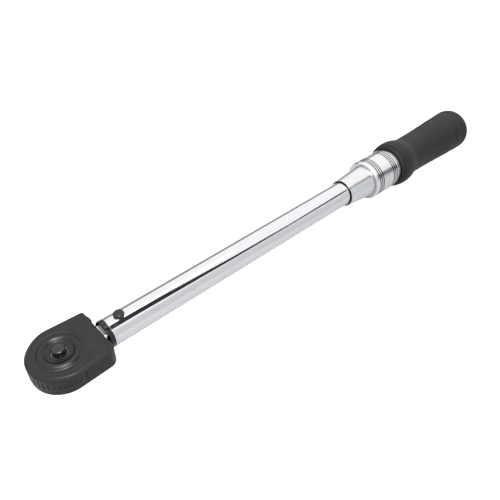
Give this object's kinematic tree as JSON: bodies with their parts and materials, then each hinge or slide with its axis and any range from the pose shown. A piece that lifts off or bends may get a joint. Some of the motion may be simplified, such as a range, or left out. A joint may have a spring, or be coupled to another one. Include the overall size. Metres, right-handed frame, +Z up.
{
  "type": "torque wrench",
  "caption": "Click-type torque wrench with a reversible ratchet head, square drive, chromed tube, micrometer thimble with lock ring, and a waisted rubber grip.",
  "frame": {"origin": "centre of the square drive's shoulder, where a socket's end face seats", "axes": "+Z up along the drive axis, from the square towards the quick-release button; +X along the tube, from the head to the grip; the square drive points along -Z"},
  "size_m": [0.4951, 0.0462, 0.048],
  "materials": {
    "tube_chrome": "polished chrome plate",
    "gloss_black": "gloss black moulding",
    "black_oxide": "black oxide",
    "machined_steel": "turned",
    "spring_steel": "oiled spring wire",
    "neck_chrome": "bright plated forging",
    "black_housing": "moulded satin black",
    "black_cover": "moulded matt black",
    "black_dial": "moulded black",
    "drive_black": "black phosphate",
    "button_black": "black, slightly worn",
    "ball_steel": "hardened ball",
    "satin_steel": "satin plated",
    "satin_ring": "satin plated, turned grooves",
    "grip_rubber": "moulded rubber, fine dot texture",
    "cap_black": "moulded black"
  },
  "bodies": {
    "tube_assembly": {"tube": "tube_chrome", "neck_bush": "gloss_black", "pivot_pin": "black_oxide", "load_nut": "machined_steel", "load_nut_pins": "machined_steel", "main_spring": "spring_steel"},
    "head": {"ratchet_head": "neck_chrome", "lower_housing": "black_housing", "top_cover": "black_cover", "cover_screws": "black_oxide", "housing_screws": "black_oxide", "thrust_washer": "machined_steel", "snap_ring": "spring_steel", "pawl_pin": "machined_steel"},
    "drive": {"drive_gear": "drive_black", "release_spring": "spring_steel"},
    "quick_release": {"release_button": "button_black", "release_pin": "machined_steel"},
    "detent_ball": {"detent_ball": "ball_steel"},
    "dial": {"reversing_dial": "black_dial", "pawl_spring": "spring_steel"},
    "pawl": {"pawl": "machined_steel"},
    "tilt_block": {"tilt_block": "machined_steel"},
    "thrust_plunger": {"thrust_plunger": "machined_steel"},
    "spring_seat": {"rear_spring_seat": "machined_steel", "thrust_ball": "ball_steel"},
    "handle": {"load_screw": "machined_steel", "thimble_sleeve": "satin_steel", "lock_balls": "ball_steel", "lock_spring": "spring_steel", "rubber_grip": "grip_rubber", "end_nut": "machined_steel", "end_cap": "cap_black"},
    "lock_ring": {"lock_ring": "satin_ring"}
  },
  "joints": [
    {"name": "head_pivot", "type": "hinge", "parent": "tube_assembly", "child": "head", "pos_m": [0.0466, 0, 0.0105], "axis": [0, 0, 1], "range_deg": [0, 2], "stiffness_Nm_per_rad": 40, "springref_deg": -5.73},
    {"name": "drive_turn", "type": "hinge", "parent": "head", "child": "drive", "pos_m": [0, 0, 0], "axis": [0, 0, 1], "continuous": true},
    {"name": "release_press", "type": "slide", "parent": "drive", "child": "quick_release", "axis": [0, 0, -1], "range_m": [0, 0.003], "stiffness_N_per_m": 600, "springref_m": -0.002, "deforming": ["release_spring"]},
    {"name": "ball_retract", "type": "slide", "parent": "drive", "child": "detent_ball", "axis": [-1, 0, 0], "range_m": [0, 0.00091]},
    {"name": "dial_turn", "type": "hinge", "parent": "head", "child": "dial", "pos_m": [0, 0, 0.0122], "axis": [0, 0, 1], "range_deg": [-20, 20]},
    {"name": "pawl_rock", "type": "hinge", "parent": "head", "child": "pawl", "pos_m": [0.016, 0, 0.0107], "axis": [0, 0, 1], "range_deg": [-7.91, 7.91]},
    {"name": "block_tip", "type": "hinge", "parent": "head", "child": "tilt_block", "pos_m": [0.10515, -0.004, 0.0105], "axis": [0, 0, 1], "range_deg": [-18.01, 0]},
    {"name": "plunger_push", "type": "slide", "parent": "tube_assembly", "child": "thrust_plunger", "axis": [1, 0, 0], "range_m": [0, 0.00201], "deforming": ["main_spring"]},
    {"name": "handle_travel", "type": "slide", "parent": "tube_assembly", "child": "spring_seat", "axis": [1, 0, 0], "range_m": [-0.00901, 0.00901]},
    {"name": "handle_turn", "type": "hinge", "parent": "spring_seat", "child": "handle", "pos_m": [0.36, 0, 0.0105], "axis": [1, 0, 0], "range_deg": [-2160, 2160]},
    {"name": "lock_pull", "type": "slide", "parent": "handle", "child": "lock_ring", "axis": [1, 0, 0], "range_m": [0, 0.0027], "stiffness_N_per_m": 1500, "springref_m": -0.002, "deforming": ["lock_spring"]}
  ],
  "couplings": [
    {"joint": "handle_travel", "follows": "handle_turn", "m_per_rad": 0.00023873},
    {"joint": "pawl_rock", "follows": "dial_turn", "ratio": 0.395},
    {"joint": "ball_retract", "follows": "release_press", "ratio": 0.3},
    {"joint": "block_tip", "follows": "head_pivot", "ratio": -9},
    {"joint": "plunger_push", "follows": "head_pivot", "m_per_rad": 0.057296}
  ]
}
